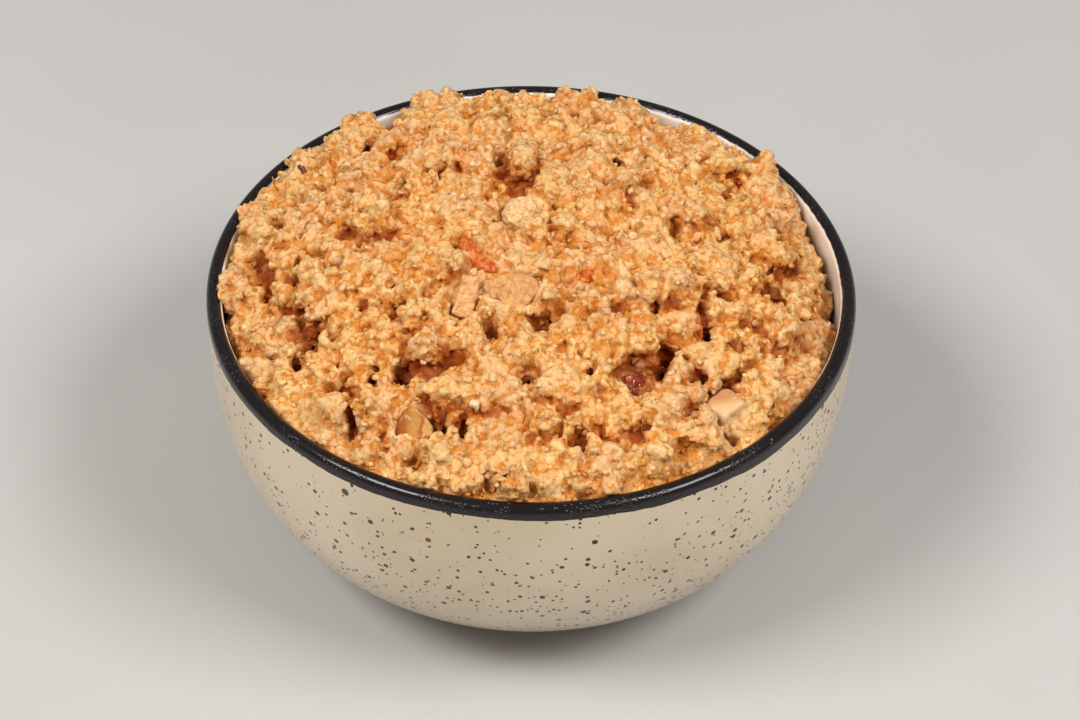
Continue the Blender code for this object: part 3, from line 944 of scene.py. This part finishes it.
nutLooks = {
    # voxel size, turns of rounding, lumps and wrinkles (size and height of each), and colours
    "cashew_chunk": {
        "voxel": 0.22 * mm, "rounding": 24, "lumps": ((4.6 * mm, 0.70 * mm),),
        "side": (0.75, 0.47, 0.225), "top": (0.54, 0.260, 0.105), "mottle": (0.84, 0.55, 0.33),
        "skin": (0.36, 0.11, 0.05)},
    "almond_piece": {
        "voxel": 0.22 * mm, "rounding": 10, "lumps": ((5.0 * mm, 0.50 * mm),),
        "wrinkles": ((2.4 * mm, 0.12 * mm),),
        "golden": (0.39, 0.125, 0.018), "streak": (0.58, 0.29, 0.080), "amber": (0.42, 0.145, 0.022),
        "cream": (0.68, 0.35, 0.120), "skin": (0.20, 0.036, 0.010)},
    "raisin_piece": {
        "voxel": 0.17 * mm, "rounding": 6, "lumps": ((2.2 * mm, 0.50 * mm),),
        "wrinkles": ((1.5 * mm, 0.45 * mm), (0.8 * mm, 0.15 * mm)),
        "dark": (0.20, 0.022, 0.004), "clear": (0.62, 0.22, 0.035), "dusty": (0.66, 0.27, 0.085)},
    "nut_flake_1": {
        "voxel": 0.22 * mm, "rounding": 8, "lumps": ((2.4 * mm, 0.35 * mm), (1.2 * mm, 0.22 * mm)),
        "name": "chip", "light": (0.72, 0.38, 0.130), "shade": (0.58, 0.27, 0.088), "cracked": 1.0},
    "nut_flake_2": {
        "voxel": 0.22 * mm, "rounding": 8, "lumps": ((3.0 * mm, 0.35 * mm), (1.3 * mm, 0.12 * mm)),
        "name": "slice", "light": (0.82, 0.47, 0.190), "shade": (0.68, 0.34, 0.125), "cracked": 0.3},
    "coated_nut": {
        "voxel": 0.22 * mm, "rounding": 4, "lumps": ((2.6 * mm, 0.80 * mm), (1.2 * mm, 0.40 * mm)),
        "name": "coatedNut", "light": (0.90, 0.63, 0.33), "shade": (0.78, 0.46, 0.20), "cracked": 0.2},
}

crackColour = (0.26, 0.07, 0.02)


def nutShape(node):
    look = nutLooks[node]
    item = addObject(node + "_look", meshOf(mergedCopy(node), node))
    remesh(item, look["voxel"], look["rounding"])
    places = placesOf(item.data)
    rise = np.zeros(len(places))
    for size, tall in look["lumps"]:
        away = np.array([noise.voronoi(Vector(place) / size)[0][0] for place in places]) / cellReach
        rise += (np.sqrt(np.maximum(1 - away * away, 0)) - domeMean) * tall
    for size, tall in look.get("wrinkles", ()):
        rise += (np.minimum(np.abs(noiseAt(places, size)) * 3, 1) - domeMean) * tall
    push(item.data, rise[:, None])
    low, high = places.min(axis=0), places.max(axis=0)
    for axis, name in enumerate(("shareX", "shareY", "shareZ")):
        setAttribute(item.data, name, (places[:, axis] - low[axis]) / (high[axis] - low[axis]) * 2 - 1)
    setAttribute(item.data, "facingUp", normalsOf(item.data)[:, 2])
    return item


def finishNut(material, colour, roughness, normal):
    return finishMaterial(material, {
        "Base Color": colour,
        "Roughness": roughness,
        "Normal": normal,
        "Subsurface Weight": 0.3,
        "Subsurface Radius": (1.0, 0.5, 0.25),
        "Subsurface Scale": 1.0 * mm,
        "Specular IOR Level": 0.35,
    })


def cashewPaint(look):
    # Cream flesh with a tan top face and scraps of red-brown skin at the back
    material, place = startMaterial("cashew")
    x, y = attribute(place, "shareX"), attribute(place, "shareY")
    mottled = grain(place, 2.2 * mm, 3.0)
    top = fade(attribute(place, "facingUp") + (mottled - 0.5) * 0.4, 0.45, 0.75)
    top = top * fade(y - x * 0.25, -0.50, 0.15)
    colour = mixColours(top, look["side"], look["top"])
    colour = mixColours(fade(mottled, 0.50, 0.70) * 0.6, colour, look["mottle"])
    back = y * 0.5 + x.then("ABSOLUTE") * 0.3
    colour = mixColours(fade(back + grain(place, 1.7 * mm), 1.05, 1.20), colour, look["skin"])
    return finishNut(material, colour, 0.34 + 0.2 * mottled, bump(grain(place, 1.0 * mm), 0.05 * mm))


def almondPaint(look):
    # Golden left side, a pale streak, an amber edge and cream flesh, with the skin dark round it
    material, place = startMaterial("almond")
    across = attribute(place, "shareX") + (grain(place, 2.0 * mm, 3.0) - 0.5) * 0.8
    height = attribute(place, "shareZ")
    colour = mixColours(fade(across, -0.50, 0.0), look["golden"], look["streak"])
    colour = mixColours(fade(across, 0.10, 0.36), colour, look["amber"])
    colour = mixColours(fade(across, 0.42, 0.62), colour, look["cream"])
    colour = mixColours(fade(0 - across - height * 0.40, 0.40, 0.95), colour, look["skin"])
    roughness = 0.22 + 0.3 * fade(across, 0.3, 0.6) + 0.1 * grain(place, 1.0 * mm)
    return finishNut(material, colour, roughness, bump(grain(place, 0.8 * mm), 0.05 * mm))


def raisinPaint(look):
    # Dark wrinkled skin that turns amber and clear towards the lower right
    material, place = startMaterial("raisin")
    mottled = grain(place, 1.4 * mm)
    clear = attribute(place, "shareX") - attribute(place, "shareZ") * 0.5 + (mottled - 0.5) * 1.2
    colour = mixColours(fade(clear, 0.0, 0.8), look["dark"], look["clear"])
    dusty = fade(grain(place, 1.9 * mm, 3.0), 0.52, 0.66) * 0.55
    colour = mixColours(dusty, colour, look["dusty"])
    return finishNut(material, colour, 0.22 + 0.35 * mottled, bump(grain(place, 0.5 * mm), 0.08 * mm))


def coatedPaint(look):
    # Nut under a thin coat of halwa, in places with fine cracks
    material, place = startMaterial(look["name"])
    shaken = stir(place, 1.5 * mm, 1.5 * mm)
    crack = 1 - fade(cells(shaken, 3.4 * mm, "DISTANCE_TO_EDGE"), 0.02, 0.06)
    crack = crack * fade(grain(place, 4.0 * mm), 0.45, 0.60) * look["cracked"] * 0.8
    colour = mixColours(fade(grain(place, 1.2 * mm, 3.0), 0.38, 0.62), look["shade"], look["light"])
    colour = mixColours(crack, colour, crackColour)
    away = cells(shaken, 1.0 * mm)
    normal = bump(1 - away * away, 0.35 * mm)
    normal = bump(1 - crack, 0.15 * mm, normal)
    return finishNut(material, colour, 0.42 + 0.2 * grain(place, 1.0 * mm), normal)


nutPaints = {"cashew_chunk": cashewPaint, "almond_piece": almondPaint, "raisin_piece": raisinPaint,
             "nut_flake_1": coatedPaint, "nut_flake_2": coatedPaint, "coated_nut": coatedPaint}

for node, paint in nutPaints.items():
    finishPiece(nutShape(node), paint(nutLooks[node]), [node])


# Scraps: bits of skin, fruit and nut that lie on the heap or stick out of it

scraps = {
    # path, widest and thickest, and for one on its edge how far it sticks out, in mm, and colours
    "almondSkin": {"path": ((-16.9, -48.4), (-17.4, -50.2), (-18.5, -52.6), (-20.6, -55.6)),
                   "wide": 3.6, "thick": 0.50, "raised": 1.15, "colours": "skin"},
    "sliver": {"path": ((-14.2, -3.6), (-13.4, -7.6), (-11.2, -11.8), (-7.2, -14.6)),
               "wide": 3.6, "thick": 2.2, "colours": "fruit"},
    "redBit": {"path": ((9.9, -15.1), (11.2, -14.8), (12.5, -14.0)),
               "wide": 2.6, "thick": 2.2, "colours": "fruit"},
    "backBit": {"path": ((-14.4, 44.9), (-13.2, 44.6), (-12.0, 43.8)),
                "wide": 1.9, "thick": 1.0, "colours": "fruit"},
    "leftBit": {"path": ((-52.2, 30.4), (-51.2, 29.9), (-50.4, 29.0)),
                "wide": 1.4, "thick": 0.9, "colours": "skin"},
    "rightBit": {"path": ((34.2, -23.6), (35.0, -24.7), (35.4, -26.0)),
                 "wide": 1.5, "thick": 0.9, "colours": "fruit"},
    "whiteBit": {"path": ((-12.0, -47.2), (-11.3, -47.5), (-10.6, -48.0)),
                 "wide": 1.6, "thick": 1.2, "colours": "nut"},
}

scrapColours = {
    "skin": ((0.075, 0.014, 0.006), (0.20, 0.050, 0.020)),
    "fruit": ((0.50, 0.085, 0.012), (0.72, 0.24, 0.050)),
    "nut": ((0.78, 0.56, 0.32), (0.84, 0.68, 0.46)),
}


def addScrap(bm, scrap, tree, rings=22, corners=12):
    # A closed strip that follows the heap along a path, thin at both ends
    path = np.array(scrap["path"]) * mm
    shares = np.linspace(0, 1, rings)
    knots = np.linspace(0, 1, len(path))
    spots = np.stack([np.interp(shares, knots, path[:, axis]) for axis in (0, 1)], axis=1)
    above, down = 0.1, Vector((0, 0, -1))
    tops = np.array([tree.ray_cast(Vector((x, y, above)), down)[0].z for x, y in spots])
    for _ in range(6):
        spots[1:-1] = (spots[:-2] + spots[1:-1] + spots[2:]) / 3
        tops[1:-1] = (tops[:-2] + tops[1:-1] + tops[2:]) / 3
    centres = [Vector((x, y, z)) for (x, y), z in zip(spots, tops)]
    loops = []
    for index, centre in enumerate(centres):
        forward = (centres[min(index + 1, rings - 1)] - centres[max(index - 1, 0)]).normalized()
        across = forward.cross(Vector((0, -0.3, 1))).normalized()
        upward = across.cross(forward).normalized()
        taper = math.sqrt(max(1 - (2 * shares[index] - 1) ** 4, 0.02))
        wide, thick = scrap["wide"] * mm / 2 * taper, scrap["thick"] * mm / 2 * taper
        if "raised" in scrap:
            across, upward = upward, across
            centre = centre + across * (scrap["raised"] * mm - wide)
        loop = []
        for corner in range(corners):
            angle = math.tau * corner / corners
            spot = centre + across * math.cos(angle) * wide + upward * math.sin(angle) * thick
            spot += noise.noise_vector(spot / (1.1 * mm)) * 0.14 * mm
            loop.append(bm.verts.new(spot))
        loops.append(loop)
    faces = [bm.faces.new((a[n - 1], a[n], b[n], b[n - 1]))
             for a, b in zip(loops, loops[1:]) for n in range(corners)]
    faces += [bm.faces.new(loops[0]), bm.faces.new(loops[-1])]
    bmesh.ops.recalc_face_normals(bm, faces=faces)


def scrapPaint():
    material, place = startMaterial("scraps")
    kind = attribute(place, "kind")
    mottled = fade(grain(place, 1.3 * mm), 0.35, 0.65)
    skin, fruit, nut = (mixColours(mottled, *ends) for ends in scrapColours.values())
    colour = mixColours(kind.then("GREATER_THAN", 0.5), skin, fruit)
    colour = mixColours(kind.then("GREATER_THAN", 1.5), colour, nut)
    return finishNut(material, colour, 0.22 + 0.2 * mottled, bump(grain(place, 0.7 * mm), 0.08 * mm))


def buildScraps():
    tree = searchTree(bpy.data.objects["heap_core"].data)
    bm = bmesh.new()
    kinds = []
    for scrap in scraps.values():
        addScrap(bm, scrap, tree)
        kinds += [list(scrapColours).index(scrap["colours"])] * (len(bm.verts) - len(kinds))
    item = addObject("scraps", meshOf(bm, "scraps"))
    setAttribute(item.data, "kind", kinds)
    finishPiece(item, scrapPaint(), [])


buildScraps()


# Floor, lights and camera

studio = {
    "floorSize": 4.0,
    "floorTones": ((0.52, 0.51, 0.50), (0.56, 0.55, 0.54)),
    "skyColour": (1.0, 0.98, 0.95, 1.0),
    "skyStrength": 0.26,
    "aim": (0, 0, 0.05),
    "lights": {
        "leftBox": {"at": (-0.60, -0.36, 0.95), "size": (0.50, 0.36), "power": 9.0,
                    "colour": (1.0, 0.97, 0.93)},
        "rightBox": {"at": (0.62, -0.36, 0.95), "size": (0.55, 0.40), "power": 8.6,
                     "colour": (1.0, 0.98, 0.95)},
    },
}


def buildFloor():
    bpy.ops.mesh.primitive_plane_add(size=studio["floorSize"])
    floor = bpy.context.object
    floor.name = "floor"
    material, place = startMaterial("paleFloor")
    cloudy = fade(grain(place, 0.2, 3.0), 0.3, 0.7)
    colour = mixColours(cloudy, *studio["floorTones"])
    floor.data.materials.append(finishMaterial(material, {"Base Color": colour, "Roughness": 0.7}))


def buildLights():
    for name, light in studio["lights"].items():
        lamp = bpy.data.lights.new(name, "AREA")
        lamp.shape = "RECTANGLE"
        lamp.size, lamp.size_y = light["size"]
        lamp.energy = light["power"]
        lamp.color = light["colour"]
        item = addObject(name, lamp)
        item.location = light["at"]
        aim = Vector(studio["aim"]) - item.location
        item.rotation_euler = aim.to_track_quat("-Z", "Y").to_euler()
    world = bpy.data.worlds.new("studio")
    world.use_nodes = True
    background = world.node_tree.nodes["Background"]
    background.inputs["Color"].default_value = studio["skyColour"]
    background.inputs["Strength"].default_value = studio["skyStrength"]
    scene.world = world


view = {
    "elevation": 40.92,             # degrees above the table
    "distance": 0.70,               # from the middle of the rim
    "lens": 108.17,
    "roll": -0.89,
    "picture": (1080, 720),
    "centre": (531.5, 280.6),       # where in the picture the middle of the rim shows
}


def buildCamera():
    camera = bpy.data.cameras.new("camera")
    camera.sensor_width = 36.0
    camera.lens = view["lens"]
    width, height = view["picture"]
    camera.shift_x = (width / 2 - view["centre"][0]) / width
    camera.shift_y = (view["centre"][1] - height / 2) / width
    item = addObject("camera", camera)
    tilt = math.radians(view["elevation"])
    back = Vector((0, -math.cos(tilt), math.sin(tilt)))
    turn = Matrix(((1, 0, 0), (0, math.sin(tilt), math.cos(tilt)), back)).transposed()
    turn = turn @ Matrix.Rotation(-math.radians(view["roll"]), 3, "Z")
    spot = Vector((0, 0, bowl["rimTop"])) + back * view["distance"]
    item.matrix_world = Matrix.Translation(spot) @ turn.to_4x4()
    scene.camera = item


buildFloor()
buildLights()
buildCamera()
scene.view_settings.view_transform = "Standard"
